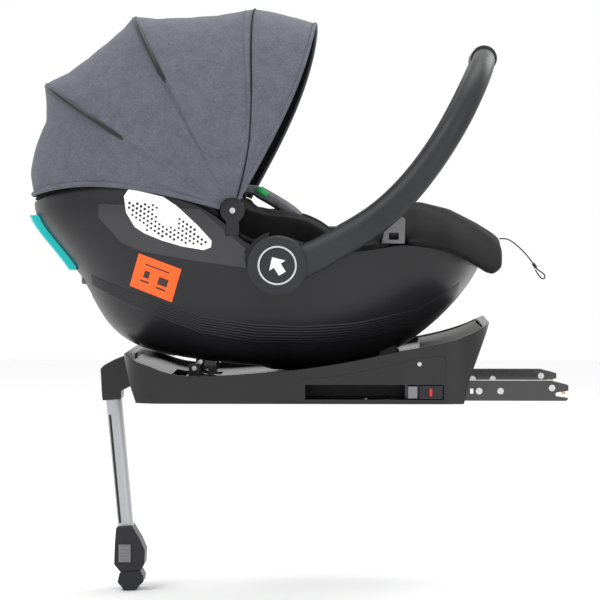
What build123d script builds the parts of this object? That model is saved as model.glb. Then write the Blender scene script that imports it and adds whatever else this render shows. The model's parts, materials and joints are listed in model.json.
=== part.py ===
from build123d import *
import math
import os
from functools import lru_cache

# Infant car seat: a carrier with folding canopy and swinging handle, on an anchored base
# with telescopic anchor arms and a folding support leg.
# Millimetres. Origin: on the base's underside, on the middle plane, between nose and anchor end.
# +X points to the anchor arms (the child's feet), -X to the child's head, +Z up.
# The child's right-hand side is -Y and is called "right".

os.makedirs("parts", exist_ok=True)

SIDES = {"right": -1, "left": 1}

# ---- carrier tub ---------------------------------------------------------------------------
WALL = 4.0                       # moulded shell wall
GAP = 0.3                        # air between soft pieces and their neighbours
SECTION_POINTS = 12              # points round one horizontal section
TUB_SQUARENESS = 2.6             # superellipse exponent of the horizontal sections
# height, head end, foot end, half width of each horizontal section of the tub's outside
TUB = (
    (40, -50, 52, 46),
    (57, -178, 110, 94),
    (80, -252, 153, 126),
    (140, -304, 220, 167),
    (205, -345, 260, 189),
    (312, -373, 292, 196),
)
# the same for the space that the child lies in
BOWL = (
    (96, -80, 72, 68),
    (140, -176, 112, 108),
    (215, -282, 140, 140),
    (312, -345, 158, 156),
)
# rim of the shell in side view, head end to foot end
RIM = [
    (-420, 272), (-372, 286), (-330, 299), (-284, 304), (-236, 300), (-196, 291),
    (-141, 275), (-97, 243), (-66, 222), (-32, 226),
    (10, 214), (61, 211), (110, 217), (141, 221), (184, 216), (217, 207), (250, 189), (300, 160),
]
COVER_LINER = 13.0               # padded thickness of the seat cover inside the bowl
RIM_PAD = 7.0                    # height of the cover's roll over the rim

# ---- handle --------------------------------------------------------------------------------
HUB_X = -32.0
HUB_Z = 194.5
HUB_R = 41.0
HUB_INNER_Y = 196.0
HUB_OUTER_Y = 222.0
PIVOT_R = 10.0
RUNNING = 0.05                   # radial clearance of a running fit
BUTTON_R = 24.0
RING_R = 27.0
# centre line of the handle, hub to grip: x, y, z, half depth in side view, half thickness
HANDLE_LINE = [
    (-32, 207, 194.5, 24, 11),
    (6, 207, 201, 22.5, 12),
    (53, 206, 225, 21, 13),
    (105, 205, 258, 20, 13),
    (150, 203, 300, 19, 13),
    (189, 200, 350, 18, 13),
    (219, 190, 399, 17.5, 14),
    (240, 164, 441, 17, 15),
    (253, 118, 471, 16.5, 15.5),
    (257.5, 62, 484, 16, 16),
]
GRIP_CENTRE = (258, 0, 486)
GRIP_HALF_LENGTH = 62.0
GRIP_R = 18.6
CORE_R = 13.0                    # the handle's core inside the grip sleeve

# ---- canopy --------------------------------------------------------------------------------
HINGE_X = -95.0
HINGE_Z = 270.0
BOW_R = 3.0
# angle from +X at the hinge, reach to the outside of the cloth, half width of the bow's feet
BOWS = {
    "rear": (147.0, 331.0, 186.0),
    "middle": (118.0, 315.0, 178.0),
    "front": (85.0, 289.0, 170.0),
}
TAIL_ANGLE = 175.5
TAIL_REACH = 293.0
VISOR_ANGLE = 67.3
VISOR_REACH = 290.0
CLOTH = 2.0                      # thickness of canopy cloth with its lining
CANOPY_HALF_WIDTH = 201.0
CANOPY_CORNER_R = 125.0
CLOTH_START = 34.0               # the cloth begins this far from the hinge axis

# ---- base ----------------------------------------------------------------------------------
BASE_HALF_WIDTH = 178.0
BASE_NOSE_X = -252.0
BASE_END_X = 264.0
BASE_CORNER_R = 62.0
BASE_LIP = 8.0                   # width of the lip and depth of the deck inside it
PLATE_T = 2.0
# top edge of the side walls, nose to anchor end
BASE_RIM = [
    (-260, 70), (-252, 67), (-237, 59), (-218, 53), (-196, 45), (-141, 38.5), (-82, 41),
    (-4, 48), (74, 60), (132, 72), (208, 88), (237, 98), (264, 112), (272, 117),
]
LOCK_BAR_R = 3.4
REAR_BAR = (-154.0, 45.0)
FRONT_BAR = (122.0, 46.0)

# ---- anchor arms ---------------------------------------------------------------------------
ARM_Y = 140.0                    # half of the 280 mm between anchor bars' centres
ARM_T = 16.0
ARM_BOTTOM = 3.0
ARM_TOP = 31.5
ARM_TIP_X = 374.0
ARM_BACK_X = 145.0
JAW_R = 3.1                      # seat for a 6 mm anchor bar
JAW_X = 359.0
JAW_Z = 12.0
SLOT_X0 = 5.5
SLOT_X1 = 199.0

# ---- support leg ---------------------------------------------------------------------------
LEG_TOP = (-277.0, 1.0)
LEG_TILT = 5.25                  # degrees, the foot is nearer to the base
PIN = (-243.0, 28.0)
PIN_R = 4.0
TUBE_DEPTH = 22.0
TUBE_WIDTH = 32.0
TUBE_WALL = 1.5
LEG_HALF_WIDTH = 24.0
BAY_HALF_WIDTH = 34.0
BAY_HEIGHT = 20.5
BAY_END_X = 214.0

# ---- elastic cord of the seat cover --------------------------------------------------------
CORD_R = 1.0
CORD_ROUTE = [
    (283, 0, 228), (291, 0.5, 228.6), (300, 1.5, 225), (309, 2, 218),
    (317.5, 2.2, 210), (325.5, 1.6, 201), (332, 1, 192),
]
LOOP_ROUTE = [
    (336, 0, 186), (341, 0.5, 181), (346, 1, 178.5), (349.5, 1.2, 174),
    (348, 1, 169.5), (343, 0.4, 171), (339, -0.6, 176), (335, -0.8, 183.4),
]

# ---- smaller features ------------------------------------------------------------------------
LATCH_POCKET = (-186, -118, -62, 62, 20, 88)
LEVER_POCKET = (-352, -292, -46, 46, 146, 178)
LATCH_AXIS = (-133.0, 70.0)
VENT = [
    (-247, 290), (-241, 299), (-207, 299), (-172, 276), (-143, 249), (-124, 228), (-125, 219),
    (-135, 215), (-165, 220), (-193, 228), (-218, 238), (-232, 247), (-244, 267),
]
LABEL = [(-227, 210), (-167, 188), (-182, 141), (-242, 164)]
INSERT_TOP = [
    (-345, 308), (-290, 314), (-190, 312), (-120, 298), (-62, 272), (0, 262), (40, 240),
    (80, 190), (110, 150),
]
TROUGH_TOP = (-330.0, 352.0)
TROUGH_FOOT = (60.0, 178.0)
TROUGH_R = 84.0
STRAP_LINE = [(-176, 200), (-160, 226), (-128, 268), (-104, 292), (-88, 296)]
PAD_LINE = [(-90, 300), (-70, 299), (-40, 282), (-6, 259)]
LAP_LINE = [(-4, 252), (10, 238), (24, 226), (31, 222)]
PAD_T = 11.0
STRAP_T = 1.6
TRIM = [
    (-34, 3), (-24, 18), (-8, 31), (8, 35), (54, 39), (112, 51), (165, 64), (190, 67),
    (200, 66), (202, 57), (202, 3),
]
SCREW_PLACES = [(x, side * 118) for x in (-170, -40, 90, 190) for side in (-1, 1)]
DECK_X0 = 168.0
DECK_X1 = 252.0
DECK_HALF = 150.0
RIVET_X = (249.0, 279.0)
RIVET_Z = 16.7
HOOK_PIVOT = (351.0, 21.2)
SEAM = 0.12


# ---- small helpers -------------------------------------------------------------------------
def save(node, shape):
    """Write one node; lists become a group of separate solids."""
    solids = shape if isinstance(shape, list) else shape.solids()
    export_step(solids[0] if len(solids) == 1 else Compound(children=list(solids)),
                f"parts/{node}.step")


def block(x0, x1, y0, y1, z0, z1):
    size = (x1 - x0, y1 - y0, z1 - z0)
    centre = ((x0 + x1) / 2, (y0 + y1) / 2, (z0 + z1) / 2)
    return Pos(*centre) * Box(*size)


def side_prism(edges, y0, y1):
    """Extrude a closed outline, drawn in the XZ plane at y = 0, from y0 to y1."""
    face = make_face(edges)
    return extrude(Pos(0, y0, 0) * face, amount=y1 - y0, dir=(0, 1, 0))


def polygon_prism(points, y0, y1):
    outline = Polyline(*[(x, 0, z) for x, z in points], close=True)
    return side_prism(outline, y0, y1)


def below_curve(points, lift, y_half, floor=-60.0):
    """Everything under a smooth side-view curve that is raised by lift."""
    top = [(x, 0, z + lift) for x, z in points]
    first, last = top[0], top[-1]
    edges = [Spline(*top)]
    edges.append(Polyline(last, (last[0], 0, floor), (first[0], 0, floor), first))
    return side_prism(edges, -y_half, y_half)


def cross_pin(x, z, radius, y0, y1):
    """A cylinder along Y."""
    return Pos(x, (y0 + y1) / 2, z) * Rot(90, 0, 0) * Cylinder(radius, abs(y1 - y0))


def mirrored(shape):
    return mirror(shape, about=Plane.XZ)


def for_side(shape, side):
    """Shapes are drawn on the left, +Y, and mirrored for the right."""
    return shape if side > 0 else mirrored(shape)


def ribbon(points, thickness, y0, y1):
    """A strap of constant thickness along side-view points."""
    upper, lower = [], []
    for i, (x, z) in enumerate(points):
        before = points[max(i - 1, 0)]
        after = points[min(i + 1, len(points) - 1)]
        along = Vector(after[0] - before[0], 0, after[1] - before[1]).normalized()
        upper.append((x - along.Z * thickness / 2, z + along.X * thickness / 2))
        lower.append((x + along.Z * thickness / 2, z - along.X * thickness / 2))
    return polygon_prism(upper + lower[::-1], y0, y1)


# ---- lofted tub ----------------------------------------------------------------------------
def oval_section(z, head, foot, half_width):
    middle = (head + foot) / 2
    half_length = (foot - head) / 2
    points = []
    for i in range(SECTION_POINTS):
        turn = 2 * math.pi * i / SECTION_POINTS
        c, s = math.cos(turn), math.sin(turn)
        x = middle + half_length * math.copysign(abs(c) ** (2 / TUB_SQUARENESS), c)
        y = half_width * math.copysign(abs(s) ** (2 / TUB_SQUARENESS), s)
        points.append((x, y, z))
    return make_face(Spline(*points, periodic=True))


@lru_cache(maxsize=None)
def lofted(stations, inset):
    """A tub through the stations, inset all round; negative inset makes it larger."""
    top = stations[-1][0]
    bottom = stations[0][0]
    sections = []
    for z, head, foot, half_width in stations:
        lift = inset * (top - z) / (top - bottom)
        sections.append(
            oval_section(z + lift, head + inset, foot - inset, half_width - inset)
        )
    return loft(sections)


# ---- carrier -------------------------------------------------------------------------------


def carrier_shell():
    below_rim = below_curve(RIM, 0, 260)
    shell = (lofted(TUB, 0) - lofted(TUB, WALL)) & below_rim
    solid_tub = lofted(TUB, 0.5)
    for pocket in (LATCH_POCKET, LEVER_POCKET):
        x0, x1, y0, y1, z0, z1 = pocket
        walls = block(x0 - 3, x1 + 3, y0 - 3, y1 + 3, z0 - 3, z1 + 3)
        shell += walls & solid_tub
        shell -= block(*pocket)
    for y in (-64, 64):
        lug = block(110, 134, y - 6, y + 6, 50, 84)
        lug &= lofted(TUB, 1) + block(110, 134, -80, 80, 0, 76)
        shell += lug - block(121, 123, -90, 90, 0, 50)
    shell -= cross_pin(*FRONT_BAR, LOCK_BAR_R + 0.8, -80, 80)
    x, z = FRONT_BAR
    shell -= block(x - LOCK_BAR_R - 0.8, x + LOCK_BAR_R + 0.8, -80, 80, 30, z)
    for side in SIDES.values():
        collar = cross_pin(HUB_X, HUB_Z, 47, 183, 195) - block(HUB_X - 12, 60, 170, 200, 100, 300)
        collar -= block(-120, 60, 170, 200, 100, HUB_Z + 6)
        collar -= lofted(TUB, 2)
        shell += for_side(collar, side)
        seat = cross_pin(HUB_X, HUB_Z, 16, 180, HUB_INNER_Y - 1) - lofted(TUB, 2)
        shell += for_side(seat, side)
        shell -= for_side(cross_pin(HUB_X, HUB_Z, PIVOT_R, 150, 230), side)
    shell -= cross_pin(*LATCH_AXIS, 3.05, -66, 66)
    for mount in canopy_mounts():
        shell -= mount
    return shell


def skin_patch(outline, inner, outer, y0, y1):
    """A thin plate that follows the tub's outside within a side-view outline."""
    plate = lofted(TUB, -outer) - lofted(TUB, -inner)
    return plate & polygon_prism(outline, y0, y1) & below_curve(RIM, -1, 260)


def rear_belt_guide():
    plate = lofted(TUB, -9) - lofted(TUB, -GAP)
    window = block(-420, -325, -62, 62, 184, 262)
    belt_slot = block(-420, -325, -40, 40, 228, 240)
    return (plate & window) - belt_slot


def release_lever():
    x0, x1, y0, y1, z0, z1 = LEVER_POCKET
    bar = block(x0 + 33, x1 - 6, y0 + 2, y1 - 2, z1 - 15, z1 - 1)
    return fillet(bar.edges().filter_by(Axis.Y), 3)


def latch_hook():
    """Two hook plates on one axle; drawn released, clear of the rear lock bar."""
    x, z = LATCH_AXIS
    axle = cross_pin(x, z, 3.0, -60, 60)
    outline = [
        (x - 8, z + 6), (x + 7, z + 6), (x + 8, z - 30), (x + 3, z - 40), (x - 15.5, z - 37.3),
        (x - 14.5, z - 34.1), (x - 4.6, z - 36.8), (x - 3.6, z - 28.4), (x - 11, z - 26.4),
        (x - 6, z - 8),
    ]
    hook = axle
    for y in (-44, 38):
        hook += polygon_prism(outline, y, y + 6)
    return hook


def handle_pivots():
    """Stub axles: a head inside the shell, a shank through the shell into the hub."""
    pivots = []
    for side in SIDES.values():
        axle = cross_pin(HUB_X, HUB_Z, PIVOT_R, 176, HUB_INNER_Y + 12)
        axle += cross_pin(HUB_X, HUB_Z, 15, 173, 176)
        pivots.append(for_side(axle, side))
    return pivots


def lap_belt_guides():
    outline = [(112, 224), (116, 240), (128, 250), (140, 262), (145, 258), (144, 224)]
    guides = []
    for side in SIDES.values():
        tab = polygon_prism(outline, 158, 170)
        tab -= block(122, 136, 150, 180, 229, 239)
        guides.append(for_side(tab, side))
    return guides


def foam_liner():
    foam = lofted(TUB, WALL + 0.6) & below_curve(RIM, -6, 260)
    foam -= lofted(BOWL, -COVER_LINER - 0.6)
    for pocket in (LATCH_POCKET, LEVER_POCKET):
        x0, x1, y0, y1, z0, z1 = pocket
        foam -= block(x0 - 4, x1 + 4, y0 - 4, y1 + 4, z0 - 4, z1 + 4)
    foam -= block(100, 140, -80, 80, 30, 90)
    for side in (-1, 1):
        foam -= cross_pin(HUB_X, HUB_Z, 18, side * 165, side * 200)
    return foam


def foot_roll():
    """The cover's crowned bolster over the foot end, which hangs past the shell."""
    stations = [
        (58, 188, 206, 257), (110, 184, 206, 270), (165, 176, 206, 281), (210, 160, 200, 270),
        (250, 134, 182, 250), (272, 112, 180, 236), (283, 92, 188, 226),
    ]
    sections = []
    for x, half_width, low, high in stations:
        arc = ThreePointArc((x, -half_width, low + 6), (x, 0, high), (x, half_width, low + 6))
        rest = Polyline((x, half_width, low + 6), (x, half_width, low), (x, -half_width, low),
                        (x, -half_width, low + 6))
        sections.append(make_face([arc, rest]))
    roll = loft(sections, ruled=True)
    return roll - (below_curve(RIM, 0.6, 260) & block(-400, 268, -260, 260, -60, 330))


def seat_cover():
    """Liner of the bowl with its roll over the rim, and the bolster over the foot end."""
    under_rim = below_curve(RIM, 0.6, 260) - lofted(BOWL, -COVER_LINER)
    liner = (lofted(TUB, -0.5) & below_curve(RIM, RIM_PAD, 260)) - under_rim - lofted(BOWL, 0)
    roll = foot_roll() - lofted(TUB, -1) - lofted(BOWL, 0)
    crown = lofted(TUB, -1) & foot_roll()
    crown -= below_curve(RIM, RIM_PAD + 0.02, 260)
    crown -= lofted(BOWL, 0)
    crown -= Pos(140, 0, 270) * Cylinder(12, 24)
    for side in (-1, 1):
        guide_room = for_side(block(108, 149, 150, 176, 218, 268), side)
        liner -= guide_room
        crown -= guide_room
        liner -= for_side(block(-114, -76, 161, 214, 236, 300), side)
        liner -= for_side(block(-82, -40, 188.6, 214, 200, 300), side)
    return [largest(liner), largest(crown), largest(roll)]


def largest(shape):
    return max(shape.solids(), key=lambda solid: solid.volume)


def trough(radius):
    """Room for the child's back and legs: a sloping channel, open above."""
    top = Vector(TROUGH_TOP[0], 0, TROUGH_TOP[1])
    foot = Vector(TROUGH_FOOT[0], 0, TROUGH_FOOT[1])
    along = foot - top
    start = top - along * 0.23
    end = foot + along * 0.23
    channel = extrude(Plane(origin=start, z_dir=along) * Circle(radius), amount=along.length * 1.46)
    above = [(start.X, start.Z), (end.X, end.Z), (end.X, 420), (start.X, 420)]
    return channel + polygon_prism(above, -radius, radius)


def newborn_insert():
    pad = lofted(BOWL, GAP + 0.4) & below_curve(INSERT_TOP, 0, 200)
    pad -= trough(TROUGH_R)
    pad -= block(-400, -196, -200, 200, 0, 400)
    for y in (-50, 50):
        pad -= ribbon(STRAP_LINE, 5, y - 22, y + 22)
    pad -= block(30, 62, -36, 36, 90, 300)
    return largest(pad)


def headrest():
    pad = lofted(BOWL, GAP + 0.4) & below_curve(INSERT_TOP, 0, 200)
    pad &= block(-322, -199, -200, 200, 150, 400)
    pad -= trough(TROUGH_R - 14)
    return pad


# ---- harness -------------------------------------------------------------------------------
def harness_straps():
    straps = []
    for y in (-50, 50):
        strap = ribbon(STRAP_LINE, STRAP_T, y - 19, y + 19)
        straps.append(largest(strap - ribbon(PAD_LINE, PAD_T + 0.2, y - 30, y + 30)))
    for y in (-34, 34):
        strap = ribbon(LAP_LINE, STRAP_T, y - 12, y + 12)
        straps.append(largest(strap - ribbon(PAD_LINE, PAD_T + 0.2, y - 50, y + 50)))
    return straps


def shoulder_pads():
    return [ribbon(PAD_LINE, PAD_T, y - 25, y + 25) for y in (-50, 50)]


def buckle():
    body = block(32, 52, -30, 30, 196, 246)
    body = fillet(body.edges(), 5)
    return body - block(30, 40, -13, 13, 208, 226)


def buckle_button():
    button = block(31, 35.6, -12, 12, 209, 225)
    return fillet(button.edges().filter_by(Axis.X), 3)


def crotch_pad():
    pad = ribbon([(60, 128), (52, 150), (46, 176), (43, 194.6)], 12, -26, 26)
    return pad & lofted(BOWL, GAP + 0.5)


def adjuster_button():
    return Pos(140, 0, 276) * Cylinder(10, 12)


# ---- handle --------------------------------------------------------------------------------
def handle_sections():
    """Oval sections square to the centre line, from the right hub over the grip to the left."""
    right, left = [], []
    last = len(HANDLE_LINE) - 1
    for i, (x, y, z, a, b) in enumerate(HANDLE_LINE):
        before = Vector(*HANDLE_LINE[max(i - 1, 0)][:3])
        after = Vector(*HANDLE_LINE[min(i + 1, last)][:3])
        if i == last:
            after = Vector(GRIP_CENTRE[0], -y, z)
        if i == 0:
            before = before - Vector(1, 0, 0.16) * 10
        along = after - before
        side_view = Vector(along.Z, 0, -along.X)
        plane = Plane(origin=(x, y, z), x_dir=side_view, z_dir=along)
        left.append((plane * Ellipse(a, b)).face())
        turned = Plane(origin=(x, -y, z), x_dir=side_view, z_dir=(-along.X, along.Y, -along.Z))
        right.append((turned * Ellipse(a, b)).face())
    return right + left[::-1]


def handle_frame():
    bow = loft(handle_sections())
    bow -= block(-100, 60, -HUB_INNER_Y, HUB_INNER_Y, 100, 300)
    for side in SIDES.values():
        hub = cross_pin(HUB_X, HUB_Z, HUB_R, HUB_INNER_Y, HUB_OUTER_Y)
        hub = chamfer(hub.edges().filter_by(GeomType.CIRCLE), 2)
        bow += for_side(hub, side)
    for side in SIDES.values():
        button_room = cross_pin(HUB_X, HUB_Z, BUTTON_R + 0.6, 209.5, 240)
        ring_room = cross_pin(HUB_X, HUB_Z, RING_R + 0.1, 216, 240)
        bore = cross_pin(HUB_X, HUB_Z, PIVOT_R + RUNNING, 190, HUB_INNER_Y + 12.5)
        bow -= for_side(button_room + ring_room + bore, side)
    x, _, z = GRIP_CENTRE
    bow -= cross_pin(x, z, 40, -GRIP_HALF_LENGTH - RUNNING, GRIP_HALF_LENGTH + RUNNING)
    return bow + cross_pin(x, z, CORE_R, -GRIP_HALF_LENGTH - 1, GRIP_HALF_LENGTH + 1)


def grip_sleeve():
    x, _, z = GRIP_CENTRE
    sleeve = cross_pin(x, z, GRIP_R, -GRIP_HALF_LENGTH, GRIP_HALF_LENGTH)
    sleeve = fillet(sleeve.edges().filter_by(GeomType.CIRCLE), 1.5)
    return sleeve - cross_pin(x, z, CORE_R + RUNNING, -100, 100)


def hub_rings():
    rings = []
    for side in SIDES.values():
        ring = cross_pin(HUB_X, HUB_Z, RING_R, 216.05, HUB_OUTER_Y + 0.8)
        ring -= cross_pin(HUB_X, HUB_Z, BUTTON_R + 0.5, 210, 230)
        rings.append(for_side(ring, side))
    return rings


def handle_button():
    button = cross_pin(HUB_X, HUB_Z, BUTTON_R, 214, HUB_OUTER_Y - 0.6)
    return fillet(button.edges().sort_by(Axis.Y)[-1], 1.2)


# ---- canopy --------------------------------------------------------------------------------
def bow_plane(angle):
    """A plane through the hinge axis: local x along Y, local y outward at the angle."""
    out = Vector(math.cos(math.radians(angle)), 0, math.sin(math.radians(angle)))
    normal = Vector(0, 1, 0).cross(out)
    return Plane(origin=(HINGE_X, 0, HINGE_Z), x_dir=(0, 1, 0), z_dir=normal)


def arch_line(foot_half_width, reach, start, corner_radius):
    """An arch from one side to the other, narrowing a little to the top."""
    top_half_width = foot_half_width * 0.86
    return FilletPolyline(
        (-foot_half_width, start), (-top_half_width, reach), (top_half_width, reach),
        (foot_half_width, start), radius=corner_radius,
    )


def canopy_bow(name):
    angle, reach, foot = BOWS[name]
    plane = bow_plane(angle)
    line = plane * arch_line(foot, reach - CLOTH - BOW_R - 2.5, 0, CANOPY_CORNER_R - 10)
    start = line @ 0
    section = Plane(origin=start, z_dir=line % 0) * Circle(BOW_R)
    bow = sweep(section.face(), path=line)
    for side in (-1, 1):
        eye = cross_pin(HINGE_X, HINGE_Z, 9, side * (foot - 2.6), side * (foot + 2.6))
        bow += eye
    for side in (-1, 1):
        bow -= cross_pin(HINGE_X, HINGE_Z, 4.05, side * (foot - 8), side * (foot + 8))
    return bow


def arch_face(angle, reach, inset):
    plane = bow_plane(angle)
    foot = CANOPY_HALF_WIDTH - inset
    line = arch_line(foot, reach - inset, CLOTH_START, CANOPY_CORNER_R - inset)
    closing = Line((foot, CLOTH_START), (-foot, CLOTH_START))
    return plane * make_face([line, closing])


def canopy_panel(angle_a, reach_a, angle_b, reach_b):
    """Cloth stretched between two arches."""
    outer = loft([arch_face(angle_a, reach_a, 0), arch_face(angle_b, reach_b, 0)], ruled=True)
    inner = loft(
        [arch_face(angle_a, reach_a, CLOTH), arch_face(angle_b, reach_b, CLOTH)], ruled=True
    )
    panel = outer - inner
    return largest(panel)


def canopy_mounts():
    """Hinge brackets on the rim: a disc with a stem, and a stub that carries the bows."""
    mounts = []
    for side in SIDES.values():
        disc = cross_pin(HINGE_X, HINGE_Z, 17, 190, 194.5)
        stem = polygon_prism([(-104, 236), (-86, 236), (-86, 270), (-104, 270)], 190, 194.5)
        stub = cross_pin(HINGE_X, HINGE_Z, 4.0, 164, 192)
        flange = cross_pin(HINGE_X, HINGE_Z, 7, 162, 164)
        mounts.append(for_side(disc + stem + stub + flange, side))
    return mounts


def canopy_rivets():
    return [
        for_side(cross_pin(HINGE_X, HINGE_Z, 4, 194.55, 197), side) for side in SIDES.values()
    ]


# ---- base ----------------------------------------------------------------------------------
def base_plan(inset, z0, z1):
    length = BASE_END_X - BASE_NOSE_X - 2 * inset
    width = 2 * (BASE_HALF_WIDTH - inset)
    middle = (BASE_END_X + BASE_NOSE_X) / 2
    plan = RectangleRounded(length, width, BASE_CORNER_R - inset)
    return extrude(Pos(middle, 0, z0) * plan, amount=z1 - z0)


def base_side_shape(lift, inset):
    """Side view of the base: flat underside, raked ends, dipped rim."""
    shape = below_curve(BASE_RIM, lift, 200)
    nose = [(-233 + inset, -5), (-233 + inset, 2), (-241 + inset, 23), (-252 + inset, 67),
            (-252 + inset, 140)]
    end = [(264 - inset, 140), (264 - inset, 112), (258 - inset, 95), (236 - inset, 37),
           (227 - inset, 0), (227 - inset, -5)]
    return shape & polygon_prism(nose + end, -200, 200) & block(-300, 300, -200, 200, 0, 200)


def leg_room():
    """The slot in the nose and the bay under the base that the leg folds into."""
    x, z = PIN
    room = block(-300, x, -LEG_HALF_WIDTH - 1, LEG_HALF_WIDTH + 1, -10, 62)
    room += cross_pin(x, z, 15.5, -LEG_HALF_WIDTH - 1, LEG_HALF_WIDTH + 1)
    sweep_room = cross_pin(x, z, 38, -LEG_HALF_WIDTH - 1, LEG_HALF_WIDTH + 1)
    room += sweep_room & block(-300, 0, -100, 100, -30, z)
    room += block(-236, BAY_END_X, -BAY_HALF_WIDTH, BAY_HALF_WIDTH, -10, BAY_HEIGHT)
    return room


def base_housing():
    hull = base_side_shape(0, 0) & base_plan(0, 0, 200)
    dish = base_plan(BASE_LIP, 0, 200) - below_curve(BASE_RIM, -BASE_LIP, 200)
    deck_room = block(DECK_X0 - 1, DECK_X1 + 1, -DECK_HALF - 1, DECK_HALF + 1, 0, 200)
    hull -= dish - deck_room
    hull -= deck_room - below_curve(BASE_RIM, -5, 200)
    hull -= lofted(TUB, -3)
    hollow = base_plan(12, -5, 200) & below_curve(BASE_RIM, -BASE_LIP - 4, 200)
    hollow &= polygon_prism([(-228, -5), (-228, 3), (-240, 60), (250, 95), (222, 30), (217, -5)],
                            -200, 200)
    hollow -= lofted(TUB, -7)
    pin_block = block(-252, -225, -44, 44, 0, 50) & base_side_shape(0, 0)
    hollow -= pin_block
    hull -= hollow
    hull -= leg_room()
    for x, z in (REAR_BAR, FRONT_BAR):
        for y in (-90, 90):
            tower = block(x - 8, x + 8, y - 5, y + 5, 24, z + 6)
            hull += tower
        hull -= cross_pin(x, z, LOCK_BAR_R + 0.05, -110, 110)
    hull -= block(REAR_BAR[0] - 34, REAR_BAR[0] + 34, -64, 64, 28, 80)
    hull -= block(FRONT_BAR[0] - 14, FRONT_BAR[0] + 16, -74, 74, 36, 90)
    for side in (-1, 1):
        hull -= for_side(block(180, 300, ARM_Y - 10.2, ARM_Y + 10.2, -5, ARM_TOP + 1), side)
        hull -= for_side(block(SLOT_X0, SLOT_X1, 140, 200, 6, 27), side)
        hull -= for_side(trim_prism(BASE_HALF_WIDTH - 1.6, 200, 0.4), side)
    hull -= cross_pin(*PIN, PIN_R, -50, 50)
    return largest(hull)


def trim_prism(y0, y1, grow):
    middle_x, middle_z = 90, 34
    outline = []
    for x, z in TRIM:
        outline.append((x + math.copysign(grow, x - middle_x), z + math.copysign(grow, z - middle_z)))
    return polygon_prism(outline, y0, y1)


def side_trims():
    trims = []
    for side in (-1, 1):
        trim = trim_prism(BASE_HALF_WIDTH - 1.5, BASE_HALF_WIDTH - 0.3, 0)
        trim -= block(SLOT_X0, SLOT_X1, 140, 200, 6, 27)
        trims.append(for_side(trim, side))
    return trims


def base_bottom_plate():
    outline = polygon_prism([(-216, 0), (216, 0), (216, PLATE_T), (-216, PLATE_T)], -200, 200)
    plate = outline & base_plan(12.6, -5, 20)
    bay = block(-215, BAY_END_X + PLATE_T, -BAY_HALF_WIDTH - PLATE_T, BAY_HALF_WIDTH + PLATE_T,
                0, BAY_HEIGHT + PLATE_T)
    plate += bay - block(-300, BAY_END_X, -BAY_HALF_WIDTH, BAY_HALF_WIDTH, -5, BAY_HEIGHT)
    plate -= block(-300, BAY_END_X, -BAY_HALF_WIDTH, BAY_HALF_WIDTH, -5, BAY_HEIGHT)
    for x, y in SCREW_PLACES:
        plate -= Pos(x, y, 1) * Cylinder(2.1, 6)
    return plate


def base_screws():
    screws = []
    for x, y in SCREW_PLACES:
        screw = Pos(x, y, 2 + 1.2) * Cylinder(4, 2.4)
        screw += Pos(x, y, 1.1) * Cylinder(2, 2.2)
        screws.append(screw)
    for side in (-1, 1):
        screws.append(for_side(cross_pin(165, 56, 3, BASE_HALF_WIDTH - 0.25, BASE_HALF_WIDTH + 1), side))
    return screws


def deck_plate():
    """Textured plate let into the top of the raised anchor end."""
    plate = below_curve(BASE_RIM, -1.6, 200) - below_curve(BASE_RIM, -4.8, 200)
    plate &= block(DECK_X0, DECK_X1, -DECK_HALF, DECK_HALF, 0, 200)
    plate -= lofted(TUB, -3.4)
    return largest(plate)


def lock_bars():
    return [cross_pin(x, z, LOCK_BAR_R, -97, 97) for x, z in (REAR_BAR, FRONT_BAR)]


# ---- anchor arms ---------------------------------------------------------------------------
def anchor_arm():
    outline = [
        (ARM_BACK_X, ARM_BOTTOM), (ARM_TIP_X - 3, ARM_BOTTOM), (ARM_TIP_X, ARM_BOTTOM + 3),
        (ARM_TIP_X, 25), (350, ARM_TOP), (ARM_BACK_X, ARM_TOP),
    ]
    arm = polygon_prism(outline, ARM_Y - ARM_T / 2, ARM_Y + ARM_T / 2)
    throat = cross_pin(JAW_X, JAW_Z, JAW_R, 120, 160)
    throat += polygon_prism([(JAW_X, JAW_Z - JAW_R), (ARM_TIP_X + 2, JAW_Z - JAW_R - 2.5),
                             (ARM_TIP_X + 2, JAW_Z + JAW_R + 2.5), (JAW_X, JAW_Z + JAW_R)], 120, 160)
    arm -= throat
    arm -= block(318, 372, ARM_Y - 3.5, ARM_Y + 3.5, 0, 29)
    arm -= block(236.5, 241, 120, 160, 12, 20)
    for x in RIVET_X:
        arm -= cross_pin(x, RIVET_Z, 3.05, 120, 160)
    arm -= cross_pin(*HOOK_PIVOT, 3.05, 120, 160)
    bumps = []
    for x in (305.5, 335.5):
        for z in (11.5, 20):
            bumps.append(cross_pin(x, z, 3, ARM_Y + ARM_T / 2, ARM_Y + ARM_T / 2 + 0.7))
    for bump in bumps:
        arm += bump
    return arm


def anchor_rivets():
    rivets = []
    for x, z in [(x, RIVET_Z) for x in RIVET_X] + [HOOK_PIVOT]:
        rivet = cross_pin(x, z, 3.0, ARM_Y - ARM_T / 2, ARM_Y + ARM_T / 2)
        for face in (-1, 1):
            y = ARM_Y + face * ARM_T / 2
            rivet += cross_pin(x, z, 4.6, y, y + face * 1.8)
        rivets.append(rivet)
    return rivets


def anchor_hook():
    """The catch that turns on the tip rivet and closes over the anchor bar."""
    x, z = HOOK_PIVOT
    outline = [
        (x - 9, z - 3), (x - 3, z + 5.5), (x + 6, z + 5.5), (x + 18, z + 1), (x + 19, z - 9),
        (x + 15.5, z - 9), (x + 11.5, z - 4.6), (x + 1, z - 4.6), (x - 4, z - 8), (x - 9, z - 8),
    ]
    hook = polygon_prism(outline, ARM_Y - 2.6, ARM_Y + 2.6)
    hook += cross_pin(x, z, 5.2, ARM_Y - 2.6, ARM_Y + 2.6)
    return hook - cross_pin(x, z, 3.05, 120, 160)


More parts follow.
